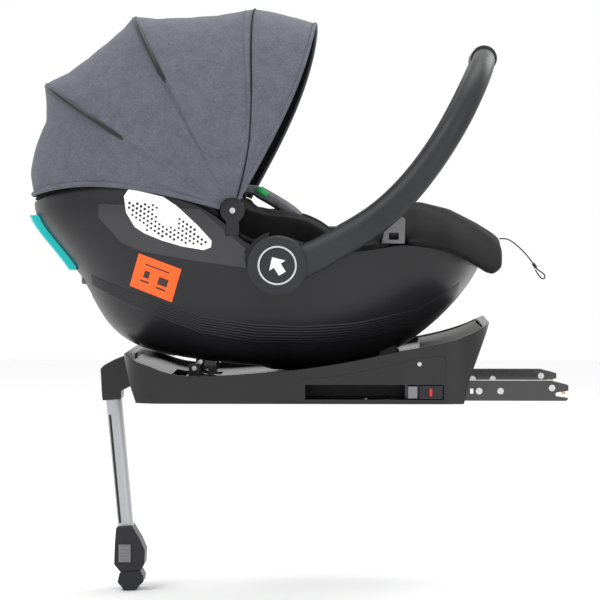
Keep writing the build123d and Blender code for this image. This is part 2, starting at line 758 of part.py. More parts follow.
def anchor_grip():
    grip = block(164.5, 197, ARM_Y + ARM_T / 2, BASE_HALF_WIDTH + 1.6, 7.2, 25.8)
    grip = fillet(grip.faces().sort_by(Axis.Y)[-1].edges(), 1.2)
    return grip - block(172, 180, BASE_HALF_WIDTH, BASE_HALF_WIDTH + 5, 12, 21)


def anchor_button():
    button = block(149, 162, ARM_Y + ARM_T / 2 + 1, BASE_HALF_WIDTH + 2.2, 8.2, 24.8)
    return fillet(button.faces().sort_by(Axis.Y)[-1].edges(), 1)


# ---- support leg ---------------------------------------------------------------------------
def leg_plane(distance):
    """Plane square to the leg's axis, a distance down from its top; local x in side view."""
    tilt = math.radians(LEG_TILT)
    down = Vector(math.sin(tilt), 0, -math.cos(tilt))
    origin = Vector(LEG_TOP[0], 0, LEG_TOP[1]) + down * distance
    return Plane(origin=origin, x_dir=(math.cos(tilt), 0, math.sin(tilt)), z_dir=down)


def leg_section(depth, width, corner, start, length):
    plane = leg_plane(start)
    return extrude(plane * RectangleRounded(depth, width, corner), amount=length)


def leg_outer_tube():
    tube = leg_section(TUBE_DEPTH, TUBE_WIDTH, 8, -16, 238)
    inner = leg_section(TUBE_DEPTH - 2 * TUBE_WALL, TUBE_WIDTH - 2 * TUBE_WALL, 6.5, -20, 260)
    return tube - inner


def leg_inner_tube():
    grow = 2 * TUBE_WALL + 1.0
    tube = leg_section(TUBE_DEPTH - grow, TUBE_WIDTH - grow, 6, 64, 204)
    return tube - leg_section(TUBE_DEPTH - grow - 3, TUBE_WIDTH - grow - 3, 4.5, 60, 230)


def leg_knuckle():
    outline = [(-294, 40), (-289, 45), (-274, 53), (-258, 59), (-248, 16), (-264, 8), (-264, -4),
               (-291, -6), (-292, 2)]
    knuckle = polygon_prism(outline, -LEG_HALF_WIDTH, LEG_HALF_WIDTH)
    knuckle = fillet(knuckle.edges().filter_by(Axis.Y), 1.5)
    knuckle += cross_pin(*PIN, 13, -LEG_HALF_WIDTH, LEG_HALF_WIDTH)
    knuckle -= leg_section(TUBE_DEPTH + 0.1, TUBE_WIDTH + 0.1, 8.05, -16.05, 60)
    return knuckle - cross_pin(*PIN, PIN_R + RUNNING, -40, 40)


def leg_collar():
    outline = [(-272, -190), (-249, -188), (-237, -208), (-230, -224), (-231, -244),
               (-236, -252), (-266, -255), (-275, -244), (-274, -215)]
    collar = polygon_prism(outline, -LEG_HALF_WIDTH, LEG_HALF_WIDTH)
    collar = fillet(collar.edges().filter_by(Axis.Y), 2.5)
    collar -= leg_section(TUBE_DEPTH + 0.1, TUBE_WIDTH + 0.1, 8.05, 150, 72.05)
    collar -= leg_section(TUBE_DEPTH - 3, TUBE_WIDTH - 3, 6.5, 200, 100)
    for side in (-1, 1):
        collar -= for_side(block(-269, -250, 18, 40, -241.5, -214.5), side)
    return collar


def leg_button():
    button = block(-268.4, -250.6, 21.5, LEG_HALF_WIDTH + 2.4, -241, -215)
    button = fillet(button.faces().sort_by(Axis.Y)[-1].edges(), 1.2)
    for i in range(5):
        z = -238 + 5 * i
        button -= block(-266, -253, LEG_HALF_WIDTH + 1.7, LEG_HALF_WIDTH + 4, z, z + 1.6)
    return button


def leg_foot():
    outline = [(-267, -256.2), (-237, -253.2), (-232, -262), (-233, -270), (-240, -276.5),
               (-263, -278.5), (-270, -270)]
    foot = polygon_prism(outline, -LEG_HALF_WIDTH, LEG_HALF_WIDTH)
    foot = fillet(foot.edges().filter_by(Axis.Y), 2.5)
    return foot - leg_section(TUBE_DEPTH - 3.9, TUBE_WIDTH - 3.9, 6.05, 200, 68.05)


def leg_foot_sole():
    outline = [(-263, -278.6), (-240, -276.6), (-242, -280.6), (-256, -282.5), (-262, -282.1)]
    return polygon_prism(outline, -LEG_HALF_WIDTH, LEG_HALF_WIDTH)


# ---- elastic cord --------------------------------------------------------------------------
def cord_tube(route):
    """Straight runs joined by arcs as large as the runs allow."""
    points = [Vector(*p) for p in route]
    radii = []
    for a, b, c in zip(points, points[1:], points[2:]):
        turn = math.radians((b - a).get_angle(c - b))
        radii.append(0.45 * min((b - a).length, (c - b).length) / math.tan(turn / 2))
    print("cord radii", [round(r, 1) for r in radii])
    line = FilletPolyline(*points, radius=radii)
    section = Plane(origin=line @ 0, z_dir=line % 0) * Circle(CORD_R)
    tube = sweep(section.face(), path=line)
    print("cord length", round(line.length, 1), "volume ratio",
          round(tube.volume / (math.pi * CORD_R**2 * line.length), 4))
    return tube


def cord_crimp():
    start, end = Vector(332, 1, 192), Vector(336, 0, 186)
    plane = Plane(origin=start, z_dir=end - start)
    return extrude(plane * Circle(2.4), amount=(end - start).length)


# ---- write every node ----------------------------------------------------------------------
STRUCTURE = {
    "base_housing": base_housing,
    "base_bottom_plate": base_bottom_plate,
    "base_deck_plate": deck_plate,
    "base_side_trims": side_trims,
    "base_screws": base_screws,
    "lock_bars": lock_bars,
    "carrier_shell": carrier_shell,
    "rear_belt_guide": rear_belt_guide,
    "release_lever": release_lever,
    "latch_hook": latch_hook,
    "handle_pivots": handle_pivots,
    "lap_belt_guides": lap_belt_guides,
    "foam_liner": foam_liner,
    "seat_cover": seat_cover,
    "newborn_insert": newborn_insert,
    "headrest": headrest,
    "harness_straps": harness_straps,
    "shoulder_pads": shoulder_pads,
    "buckle": buckle,
    "buckle_button": buckle_button,
    "crotch_pad": crotch_pad,
    "adjuster_button": adjuster_button,
    "handle_frame": handle_frame,
    "handle_grip": grip_sleeve,
    "hub_rings": hub_rings,
    "canopy_mounts": canopy_mounts,
    "canopy_rivets": canopy_rivets,
    "leg_outer_tube": leg_outer_tube,
    "leg_inner_tube": leg_inner_tube,
    "leg_knuckle": leg_knuckle,
    "leg_collar": leg_collar,
    "leg_foot": leg_foot,
    "leg_foot_sole": leg_foot_sole,
    "cord_crimp": cord_crimp,
}
PAIRED = {
    "anchor_arm": anchor_arm,
    "anchor_rivets": anchor_rivets,
    "anchor_hook": anchor_hook,
    "anchor_grip": anchor_grip,
    "anchor_button": anchor_button,
    "handle_button": handle_button,
    "leg_button": leg_button,
}

for node, make in STRUCTURE.items():
    save(node, make())
for node, make in PAIRED.items():
    made = make()
    for name, side in SIDES.items():
        pieces = made if isinstance(made, list) else [made]
        save(f"{node}_{name}", [for_side(piece, side).solid() for piece in pieces])
for name in BOWS:
    save(f"canopy_bow_{name}", canopy_bow(name))
rear, middle, front = BOWS["rear"], BOWS["middle"], BOWS["front"]
save("canopy_tail", canopy_panel(TAIL_ANGLE, TAIL_REACH, rear[0] + SEAM, rear[1]))
save("canopy_rear_panel", canopy_panel(rear[0] - SEAM, rear[1], middle[0] + SEAM, middle[1]))
save("canopy_front_panel", canopy_panel(middle[0] - SEAM, middle[1], front[0] + SEAM, front[1]))
save("canopy_visor", canopy_panel(front[0] - SEAM, front[1], VISOR_ANGLE, VISOR_REACH))
vent = skin_patch(VENT, 0.05, 1.8, 0, 260).solid()
save("vent_panels", [for_side(vent, side) for side in SIDES.values()])
save("safety_label", skin_patch(LABEL, 0.05, 0.4, -260, 0))
save("elastic_cord", [cord_tube(CORD_ROUTE).solid(), cord_tube(LOOP_ROUTE).solid()])
save("leg_hinge_pin", cross_pin(*PIN, PIN_R, -43, 43))
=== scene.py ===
import json
import math
import random

import bpy
import bmesh
import numpy as np
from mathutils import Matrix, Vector
from mathutils.bvhtree import BVHTree


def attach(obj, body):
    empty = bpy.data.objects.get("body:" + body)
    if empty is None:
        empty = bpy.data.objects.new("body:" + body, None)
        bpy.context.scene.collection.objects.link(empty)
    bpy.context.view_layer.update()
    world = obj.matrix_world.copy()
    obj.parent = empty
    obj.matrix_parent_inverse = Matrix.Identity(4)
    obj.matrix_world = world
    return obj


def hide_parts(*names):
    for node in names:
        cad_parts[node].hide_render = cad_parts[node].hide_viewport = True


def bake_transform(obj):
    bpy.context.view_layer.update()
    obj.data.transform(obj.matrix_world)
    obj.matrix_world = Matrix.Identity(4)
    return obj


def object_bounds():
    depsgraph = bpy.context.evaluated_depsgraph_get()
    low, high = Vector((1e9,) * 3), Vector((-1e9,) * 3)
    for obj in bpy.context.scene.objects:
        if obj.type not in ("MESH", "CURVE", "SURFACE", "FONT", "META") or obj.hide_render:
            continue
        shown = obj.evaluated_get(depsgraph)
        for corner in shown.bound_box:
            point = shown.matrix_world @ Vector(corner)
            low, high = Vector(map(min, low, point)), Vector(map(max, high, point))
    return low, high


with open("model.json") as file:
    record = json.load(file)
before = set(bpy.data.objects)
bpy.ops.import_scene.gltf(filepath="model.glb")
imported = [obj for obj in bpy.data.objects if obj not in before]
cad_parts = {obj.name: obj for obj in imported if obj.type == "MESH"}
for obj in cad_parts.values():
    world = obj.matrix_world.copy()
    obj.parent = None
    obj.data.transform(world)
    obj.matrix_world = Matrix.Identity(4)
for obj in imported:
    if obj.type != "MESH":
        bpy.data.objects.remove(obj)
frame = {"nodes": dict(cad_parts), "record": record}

cad_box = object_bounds()
random.seed(7)
nodes = frame["nodes"]
SIDES = {"right": -1, "left": 1}
MM = 0.001

# Places of the frame as (x, z), metres. The hinge and hub axes run along Y.
HINGE = (-0.095, 0.270)
HUB = (-0.032, 0.1945)
SHELL_HALF = 0.19   # half width of the shell, where a ray misses it


# ============================================================ materials
def new_material(name):
    material = bpy.data.materials.new(name)
    material.use_nodes = True
    tree = material.node_tree
    shader = tree.nodes["Principled BSDF"]
    place = tree.nodes.new("ShaderNodeTexCoord")
    return material, tree, shader, place.outputs["Object"]


def noise(tree, vector, scale, detail=3.0, roughness=0.5):
    node = tree.nodes.new("ShaderNodeTexNoise")
    node.inputs["Scale"].default_value = scale
    node.inputs["Detail"].default_value = detail
    node.inputs["Roughness"].default_value = roughness
    tree.links.new(vector, node.inputs["Vector"])
    return node.outputs["Fac"]


def ramp(tree, value, stops):
    node = tree.nodes.new("ShaderNodeValToRGB")
    elements = node.color_ramp.elements
    while len(elements) < len(stops):
        elements.new(0.5)
    for element, (position, colour) in zip(elements, stops):
        element.position = position
        element.color = (*colour, 1)
    tree.links.new(value, node.inputs["Fac"])
    return node.outputs["Color"]


def scaled(tree, vector, factors):
    node = tree.nodes.new("ShaderNodeMapping")
    node.inputs["Scale"].default_value = factors
    tree.links.new(vector, node.inputs["Vector"])
    return node.outputs["Vector"]


def maths(tree, operation, a, b):
    node = tree.nodes.new("ShaderNodeMath")
    node.operation = operation
    for socket, value in zip(node.inputs, (a, b)):
        if isinstance(value, (int, float)):
            socket.default_value = value
        else:
            tree.links.new(value, socket)
    return node.outputs[0]


def span(tree, value, low, high):
    node = tree.nodes.new("ShaderNodeMapRange")
    node.inputs["To Min"].default_value = low
    node.inputs["To Max"].default_value = high
    tree.links.new(value, node.inputs["Value"])
    return node.outputs["Result"]


def bump(tree, shader, height, distance, strength=1.0):
    node = tree.nodes.new("ShaderNodeBump")
    node.inputs["Distance"].default_value = distance
    node.inputs["Strength"].default_value = strength
    tree.links.new(height, node.inputs["Height"])
    tree.links.new(node.outputs["Normal"], shader.inputs["Normal"])


CLOTH_ROUGH = 0.88
CLOTH_SPECULAR = 0.15


def plastic(name, colour, rough, grain=900.0, grain_depth=0.00006, wear=0.35, specular=0.28):
    """Moulded plastic: fine spark-eroded grain, uneven gloss, faint rubbed patches."""
    material, tree, shader, place = new_material(name)
    broad = noise(tree, place, 7, 4)
    fine = noise(tree, place, grain, 2)
    lighter = tuple(min(1, c * (1 + wear) + 0.004) for c in colour)
    tree.links.new(ramp(tree, broad, [(0.3, colour), (0.75, lighter)]), shader.inputs["Base Color"])
    tree.links.new(span(tree, broad, rough - 0.06, rough + 0.08), shader.inputs["Roughness"])
    bump(tree, shader, fine, grain_depth, 0.6)
    shader.inputs["Specular IOR Level"].default_value = specular
    return material


def metal(name, colour, rough, brushed=(1, 1, 1), coat=0.0, metallic=1.0):
    """Metal with brushed streaks along one direction."""
    material, tree, shader, place = new_material(name)
    streak = noise(tree, scaled(tree, place, brushed), 160, 3)
    darker = tuple(c * 0.82 for c in colour)
    tree.links.new(ramp(tree, streak, [(0.25, darker), (0.7, colour)]), shader.inputs["Base Color"])
    tree.links.new(span(tree, streak, rough - 0.05, rough + 0.09), shader.inputs["Roughness"])
    bump(tree, shader, streak, 0.00003, 0.5)
    shader.inputs["Metallic"].default_value = metallic
    shader.inputs["Coat Weight"].default_value = coat
    return material


def cloth(name, light, dark, thread, melange=0.5, sheen=0.1):
    """Plain weave from crossed threads, with flecks of lighter yarn."""
    material, tree, shader, place = new_material(name)
    turned = tree.nodes.new("ShaderNodeMapping")
    turned.inputs["Rotation"].default_value = (0.3, 0.6, 0.2)
    tree.links.new(place, turned.inputs["Vector"])
    bands = []
    for axis in ("X", "Z"):
        wave = tree.nodes.new("ShaderNodeTexWave")
        wave.bands_direction = axis
        wave.inputs["Scale"].default_value = thread
        wave.inputs["Distortion"].default_value = 1.2
        wave.inputs["Detail"].default_value = 1.0
        wave.inputs["Detail Scale"].default_value = 2.0
        tree.links.new(turned.outputs["Vector"], wave.inputs["Vector"])
        bands.append(wave.outputs["Fac"])
    weave = maths(tree, "MAXIMUM", *bands)
    flecks = noise(tree, scaled(tree, place, (1, 1, 1.6)), 420, 5, 0.75)
    patches = noise(tree, place, 60, 5, 0.7)
    mixed = maths(tree, "ADD", maths(tree, "MULTIPLY", flecks, melange),
                  maths(tree, "MULTIPLY", patches, 1 - melange))
    tree.links.new(ramp(tree, mixed, [(0.36, dark), (0.62, light)]), shader.inputs["Base Color"])
    height = maths(tree, "ADD", weave, maths(tree, "MULTIPLY", flecks, 0.8))
    bump(tree, shader, height, 0.00022, 0.55)
    shader.inputs["Roughness"].default_value = CLOTH_ROUGH
    shader.inputs["Specular IOR Level"].default_value = CLOTH_SPECULAR
    shader.inputs["Sheen Weight"].default_value = sheen
    shader.inputs["Sheen Roughness"].default_value = 0.5
    return material


MATERIALS = {
    "shell_plastic": plastic("shell_plastic", (0.0095, 0.0095, 0.0110), 0.36, 1400, 0.00004),
    "lens_plastic": plastic("lens_plastic", (0.020, 0.020, 0.023), 0.25, 1400, 0.00002,
                            specular=0.45),
    "base_plastic": plastic("base_plastic", (0.0050, 0.0050, 0.0057), 0.27, 1400, 0.00002,
                            specular=0.4),
    "deck_texture": plastic("deck_texture", (0.062, 0.059, 0.055), 0.5, 500, 0.00020, wear=0.6),
    "handle_plastic": plastic("handle_plastic", (0.0140, 0.0145, 0.0160), 0.42, 1600, 0.00005),
    "black_steel": metal("black_steel", (0.02, 0.02, 0.021), 0.22, (1, 1, 1), 0.6, 0.0),
    "bright_steel": metal("bright_steel", (0.62, 0.62, 0.63), 0.24, (1, 20, 1)),
    "chrome_trim": metal("chrome_trim", (0.78, 0.78, 0.80), 0.10),
    "leg_aluminium": metal("leg_aluminium", (0.42, 0.43, 0.45), 0.32, (40, 40, 1)),
    "hook_brass": metal("hook_brass", (0.55, 0.40, 0.18), 0.30),
    "grip_rubber": plastic("grip_rubber", (0.0135, 0.0140, 0.0155), 0.50, 900, 0.00008),
    "canopy_fabric": cloth("canopy_fabric", (0.125, 0.125, 0.156), (0.065, 0.065, 0.084), 420,
                           0.7),
    "lining_fabric": cloth("lining_fabric", (0.010, 0.010, 0.011), (0.005, 0.005, 0.006), 500,
                           sheen=0.03),
    "cover_fabric": cloth("cover_fabric", (0.0085, 0.0080, 0.0090), (0.004, 0.0038, 0.0042), 330,
                          sheen=0.03),
    "pad_fabric": cloth("pad_fabric", (0.20, 0.20, 0.22), (0.10, 0.10, 0.12), 420, 0.7),
    "harness_webbing": cloth("harness_webbing", (0.020, 0.020, 0.022), (0.010, 0.010, 0.012), 260),
    "elastic": cloth("elastic", (0.05, 0.05, 0.055), (0.02, 0.02, 0.024), 900),
    "foam": plastic("foam", (0.72, 0.72, 0.70), 0.7, 300, 0.0004),
    "vent_white": plastic("vent_white", (0.80, 0.80, 0.80), 0.38, 1500, 0.00003, wear=0.08),
    # this dark plastic also colours the painted dark reflection bands on the leg tube
    "vent_hole": plastic("vent_hole", (0.015, 0.015, 0.016), 0.7),
    "label_orange": plastic("label_orange", (0.93, 0.105, 0.012), 0.42, 1200, 0.00002, wear=0.12),
    "label_print": plastic("label_print", (0.035, 0.022, 0.018), 0.5),
    "guide_teal": plastic("guide_teal", (0.004, 0.43, 0.43), 0.30, 1300, 0.00002, wear=0.1),
    "button_grey": plastic("button_grey", (0.13, 0.13, 0.135), 0.42),
    "arrow_grey": plastic("arrow_grey", (0.62, 0.62, 0.63), 0.35),
    "buckle_red": plastic("buckle_red", (0.55, 0.012, 0.012), 0.28),
    "tag_green": plastic("tag_green", (0.03, 0.42, 0.12), 0.5),
    "sole_rubber": plastic("sole_rubber", (0.014, 0.014, 0.014), 0.7, 500, 0.0002),
}
SLOT_OF = {s["node"]: s["material_slot"] for s in frame["record"]["subparts"]}
for node, piece in nodes.items():
    piece.data.materials.clear()
    piece.data.materials.append(MATERIALS[SLOT_OF[node]])
    for polygon in piece.data.polygons:
        polygon.material_index = 0


# ============================================================ mesh helpers
def add_mesh(name, points, faces, material, smooth=True):
    mesh = bpy.data.meshes.new(name)
    mesh.from_pydata([tuple(p) for p in points], [], faces)
    mesh.update()
    piece = bpy.data.objects.new(name, mesh)
    bpy.context.scene.collection.objects.link(piece)
    mesh.materials.append(MATERIALS[material])
    for polygon in mesh.polygons:
        polygon.use_smooth = smooth
    return piece


def smoothed(piece):
    for polygon in piece.data.polygons:
        polygon.use_smooth = True


def baked(piece):
    """Replace the mesh by what its modifiers make of it."""
    graph = bpy.context.evaluated_depsgraph_get()
    mesh = bpy.data.meshes.new_from_object(piece.evaluated_get(graph))
    piece.modifiers.clear()
    piece.data = mesh
    return piece


def grid_faces(rows, columns, wrap=False):
    """Faces of a grid of points given row by row; wrap joins each row's end to its start."""
    faces = []
    for i in range(rows - 1):
        this, after = i * columns, (i + 1) * columns
        for j in range(columns if wrap else columns - 1):
            k = (j + 1) % columns
            faces.append((this + j, this + k, after + k, after + j))
    return faces


def tube(name, line, radius, material, sides=8, flat=1.0):
    """A tube along points, closed at its ends; flat is its thickness over its width."""
    line = [Vector(p) for p in line]
    rings = []
    up = Vector((0, 1, 0))
    for i, point in enumerate(line):
        along = (line[min(i + 1, len(line) - 1)] - line[max(i - 1, 0)]).normalized()
        across = along.cross(up)
        if across.length < 0.2:
            across = along.cross(Vector((1, 0, 0)))
        across.normalize()
        normal = across.cross(along).normalized()
        for k in range(sides):
            turn = 2 * math.pi * k / sides
            rings.append(point + across * math.cos(turn) * radius
                         + normal * math.sin(turn) * radius * flat)
    faces = grid_faces(len(line), sides, wrap=True)
    faces.append(tuple(range(sides))[::-1])
    faces.append(tuple(range(len(rings) - sides, len(rings))))
    return add_mesh(name, rings, faces, material)


def join_meshes(name, pieces):
    """Several meshes of one material as one piece."""
    target = bmesh.new()
    for piece in pieces:
        target.from_mesh(piece.data)
    mesh = pieces[0].data
    target.to_mesh(mesh)
    target.free()
    joined = pieces[0]
    joined.name = name
    for piece in pieces[1:]:
        bpy.data.objects.remove(piece)
    smoothed(joined)
    return joined


RAY_START = 0.6   # how far from the middle plane the rays start


def caster(node):
    """Finds the outside of a CAD node in side view: hit(x, z, side) gives y and the normal."""
    mesh = nodes[node].data
    tree = BVHTree.FromPolygons([v.co for v in mesh.vertices], [p.vertices for p in mesh.polygons])

    def hit(x, z, side):
        found = tree.ray_cast(Vector((x, side * RAY_START, z)), Vector((0, -side, 0)))
        return (found[0].y, found[1]) if found[0] else (None, None)
    return hit


def smooth_step(t):
    t = max(0.0, min(1.0, t))
    return t * t * (3 - 2 * t)


# ============================================================ canopy
FOOT_HALF = 0.199        # half width of the canopy at its feet
FOOT_REACH = 0.300       # reach that the outline fades to at the feet
WRINKLE = 0.0016
CLOTH_THICKNESS = 0.0016
# outline of the cloth on the middle plane: angle at the hinge from +X, degrees, and reach, mm
PROFILE = [
    (60, 291), (67, 290), (75, 288), (85, 289.5), (90, 284), (96, 280.5), (104, 284.5),
    (112.5, 297), (118.2, 315), (122, 308), (127.5, 304.5), (134.6, 306), (141, 313), (147, 331),
    (150.5, 316), (155, 303.5), (163, 304.5), (170, 303), (177, 292),
]
BOW_ANGLES = {"rear": 147.0, "middle": 118.2}


def reach(angle):
    return float(np.interp(angle, [a for a, _ in PROFILE], [r for _, r in PROFILE])) * MM


def canopy_point(angle, turn, out=0.0):
    """A point of the cloth, out off it; turn runs 0..pi from the right hinge over to the left."""
    rad = math.radians(angle)
    s, c = math.sin(turn), math.cos(turn)
    height = s ** 0.80
    y = -FOOT_HALF * math.copysign(abs(c) ** 0.62, c) * (1 - 0.10 * height)
    r = (FOOT_REACH + (reach(angle) - FOOT_REACH) * smooth_step(height * 1.4)) * height
    # soft wrinkles that gather to the hinges
    gather = math.exp(-((height - 0.35) / 0.30) ** 2)
    fold = math.sin(rad * 21 + 2.2 * height) + 0.6 * math.sin(rad * 37 + 5 * c)
    swell = fold * WRINKLE * gather
    side_out = math.copysign(swell * 0.9 + out * abs(c) ** 0.5, -c) if abs(c) > 0.05 else 0.0
    r += swell * 0.4 * s + out * s
    return Vector((HINGE[0] + r * math.cos(rad), y + side_out, HINGE[1] + r * math.sin(rad)))


# Edges of the panels: the angle at the hinge for each turn over the canopy.
def tail_angle(turn):
    return 164.5 + 11.6 * math.sin(turn) ** 1.5


def front_seam(turn):
    return 85 - 15 * (1 - math.sin(turn)) ** 2


def visor_edge(turn):
    return 61 + 6.3 * math.sin(turn) ** 2


def constant(angle):
    return lambda turn: angle


EDGE_TURN = 0.03   # how far short of the hinges the cloth stops
TURN_STEPS = 110
TURNS = [EDGE_TURN + (math.pi - 2 * EDGE_TURN) * i / TURN_STEPS for i in range(TURN_STEPS + 1)]


def canopy_panel(name, start, end, rows):
    points = []
    for i in range(rows):
        part = i / (rows - 1)
        for turn in TURNS:
            points.append(canopy_point(start(turn) + (end(turn) - start(turn)) * part, turn))
    faces = [face[::-1] for face in grid_faces(rows, len(TURNS))]
    panel = add_mesh(name, points, faces, "canopy_fabric")
    panel.data.materials.append(MATERIALS["lining_fabric"])
    skin = panel.modifiers.new("cloth", "SOLIDIFY")
    skin.thickness = CLOTH_THICKNESS
    skin.offset = -1
    skin.material_offset = 1
    skin.use_even_offset = False
    baked(panel)
    return panel


def seam(name, angle_at, radius, out, body, material="canopy_fabric"):
    line = [canopy_point(angle_at(turn), turn, out) for turn in TURNS]
    piece = tube(name, line, radius, material, 6)
    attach(piece, body)


def across_joint(piece):
    """Bake the piece's transform into its mesh."""
    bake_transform(piece)


def build_canopy():
    rear, middle = constant(BOW_ANGLES["rear"]), constant(BOW_ANGLES["middle"])
    tail = canopy_panel("canopy_tail_cloth", tail_angle, rear, 22)
    back = canopy_panel("canopy_rear_cloth", rear, middle, 24)
    front = canopy_panel("canopy_front_cloth", middle, front_seam, 26)
    visor = canopy_panel("canopy_visor_cloth", front_seam, visor_edge, 14)
    across_joint(tail)
    across_joint(back)
    across_joint(front)
    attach(visor, "canopy_front")
    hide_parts("canopy_tail")
    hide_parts("canopy_rear_panel")
    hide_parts("canopy_front_panel")
    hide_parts("canopy_visor")
    for name, angle in BOW_ANGLES.items():
        for k, shift in enumerate((-0.45, 0.45)):
            seam(f"canopy_seam_{name}_{k}", constant(angle + shift), 0.0007, 0.0005,
                 f"canopy_{name}")
    seam("canopy_front_seam", front_seam, 0.0010, 0.0004, "canopy_front", "lining_fabric")
    seam("canopy_front_stitch", lambda t: front_seam(t) + 2.6, 0.0006, 0.0004, "canopy_front")
    seam("canopy_visor_hem", visor_edge, 0.0026, 0.0, "canopy_front")
    hem = tube("canopy_tail_hem", [canopy_point(tail_angle(t) - 0.3, t, 0.001) for t in TURNS],
               0.0036, "canopy_fabric", 8)
    across_joint(hem)


# ============================================================ soft pieces made from CAD solids
def softened(node, name, material, voxel, smoothing, swell, folds, pressure, cap):
    """Remesh a plain solid, round it, optionally inflate it as cloth, and add soft folds."""
    source = nodes[node]
    piece = bpy.data.objects.new(name, source.data.copy())
    bpy.context.scene.collection.objects.link(piece)
    remesh = piece.modifiers.new("remesh", "REMESH")
    remesh.mode = "VOXEL"
    remesh.voxel_size = voxel
    relax = piece.modifiers.new("relax", "SMOOTH")
    relax.iterations = smoothing
    relax.factor = 0.5
    baked(piece)
    if pressure:
        inflate(piece, pressure, cap)
    mesh = piece.data
    normals = [v.normal.copy() for v in mesh.vertices]
    for vertex, normal in zip(mesh.vertices, normals):
        x, y, z = vertex.co
        wave = math.sin(38 * x + 21 * z + 9 * math.sin(17 * y)) * math.sin(31 * y + 13 * x)
        vertex.co += normal * (swell + folds * wave)
    smooth = piece.modifiers.new("fine", "SUBSURF")
    smooth.levels = 1
    baked(piece)
    piece.data.materials.clear()
    piece.data.materials.append(MATERIALS[material])
    for polygon in piece.data.polygons:
        polygon.material_index = 0
    smoothed(piece)
    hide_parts(node)
    return piece


CLOTH_FRAMES = 16


def inflate(piece, pressure, cap):
    """Cloth with inside pressure and no gravity; each point moves at most cap."""
    before = [v.co.copy() for v in piece.data.vertices]
    cloth_sim = piece.modifiers.new("inflate", "CLOTH")
    settings = cloth_sim.settings
    settings.use_pressure = True
    settings.uniform_pressure_force = pressure
    settings.quality = 4
    settings.mass = 0.3
    settings.tension_stiffness = 12
    settings.effector_weights.gravity = 0.0
    cloth_sim.point_cache.frame_start = 1
    cloth_sim.point_cache.frame_end = CLOTH_FRAMES
    scene = bpy.context.scene
    for step in range(1, CLOTH_FRAMES + 1):
        scene.frame_set(step)
    baked(piece)
    scene.frame_set(1)
    for vertex, old in zip(piece.data.vertices, before):
        move = vertex.co - old
        if move.length > cap:
            vertex.co = old + move * (cap / move.length)


# node, piece, material and slot, voxel size, smoothing, swell, folds, pressure, cap, fill
SOFT_PIECES = [
    ("seat_cover", "seat_cover_cloth", "cover_fabric", 0.0042, 5, 0.0006, 0.0011, 0.0, 0.0, 0.5),
    ("newborn_insert", "newborn_insert_pad", "cover_fabric", 0.005, 8, 0.0, 0.0012, 3.0, 0.004,
     0.7),
    ("headrest", "headrest_pad", "cover_fabric", 0.005, 8, 0.0, 0.001, 3.0, 0.004, 0.7),
    ("shoulder_pads", "shoulder_pads_cloth", "pad_fabric", 0.0025, 5, 0.0, 0.0004, 3.0, 0.003,
     0.6),
    ("crotch_pad", "crotch_pad_cloth", "pad_fabric", 0.0025, 5, 0.0, 0.0004, 0.0, 0.0, 0.6),
]


def build_soft():
    for node, name, material, *shape, fill in SOFT_PIECES:
        piece = softened(node, name, material, *shape)
        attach(piece, "carrier")


# ============================================================ shell details
def conformed_patch(name, hit, side, left, right, low, high, lift, thickness, material,
                    columns=48, rows=16, ribs=0, rib_depth=0.0):
    """A plate that follows the shell between two heights; low and high are functions of x."""
    points = []
    for i in range(rows):
        for j in range(columns):
            u = j / (columns - 1)
            v = i / (rows - 1)
            x = left + (right - left) * u
            z = low(x) + (high(x) - low(x)) * v
            y, normal = hit(x, z, side)
            if y is None:
                y = points[-1].y if points else side * SHELL_HALF
                normal = Vector((0, side, 0))
            if normal.y * side < 0:
                normal = -normal
            rib = rib_depth * (0.5 - 0.5 * math.cos(2 * math.pi * ribs * v)) if ribs else 0.0
            points.append(Vector((x, y, z)) + normal * (lift + rib))
    plate = add_mesh(name, points, grid_faces(rows, columns), material)
    skin = plate.modifiers.new("skin", "SOLIDIFY")
    skin.thickness = thickness
    skin.offset = -1 if side < 0 else 1
    bevel = plate.modifiers.new("edge", "BEVEL")
    bevel.width = 0.0006
    bevel.segments = 2
    bevel.limit_method = "ANGLE"
    baked(plate)
    smoothed(plate)
    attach(plate, "carrier")


def curve_through(points):
    """Height as a function of x, straight between the points."""
    xs = [x for x, _ in points]
    zs = [z for _, z in points]
    return lambda x: float(np.interp(x, xs, zs))


def build_shell_details():
    hit = caster("carrier_shell")
    band_low = curve_through([(-0.30, 0.163), (-0.23, 0.130), (-0.14, 0.095), (-0.063, 0.082),
                              (0.035, 0.082), (0.112, 0.093), (0.165, 0.107), (0.225, 0.150)])
    band_high = curve_through([(-0.30, 0.178), (-0.23, 0.152), (-0.14, 0.122), (-0.066, 0.111),
                               (0.0, 0.108), (0.074, 0.112), (0.165, 0.131), (0.225, 0.168)])
    wing_low = curve_through([(-0.285, 0.262), (-0.253, 0.226), (-0.223, 0.213), (-0.15, 0.200),
                              (-0.075, 0.190)])
    wing_high = curve_through([(-0.285, 0.279), (-0.14, 0.272), (-0.10, 0.238), (-0.075, 0.216)])
    for name, side in SIDES.items():
        conformed_patch(f"shell_band_{name}", hit, side, -0.300, 0.222, band_low, band_high,
                        0.0003, 0.0008, "shell_plastic", 120, 43, ribs=7, rib_depth=0.0007)
        conformed_patch(f"shell_wing_{name}", hit, side, -0.284, -0.076, wing_low, wing_high,
                        0.0009, 0.0012, "lens_plastic", 70, 24)


def inside(outline, x, z):
    """Even-odd test of a point in a side-view outline."""
    odd = False
    for (x0, z0), (x1, z1) in zip(outline, outline[1:] + outline[:1]):
        if (z0 > z) != (z1 > z) and x < (x1 - x0) * (z - z0) / (z1 - z0) + x0:
            odd = not odd
    return odd


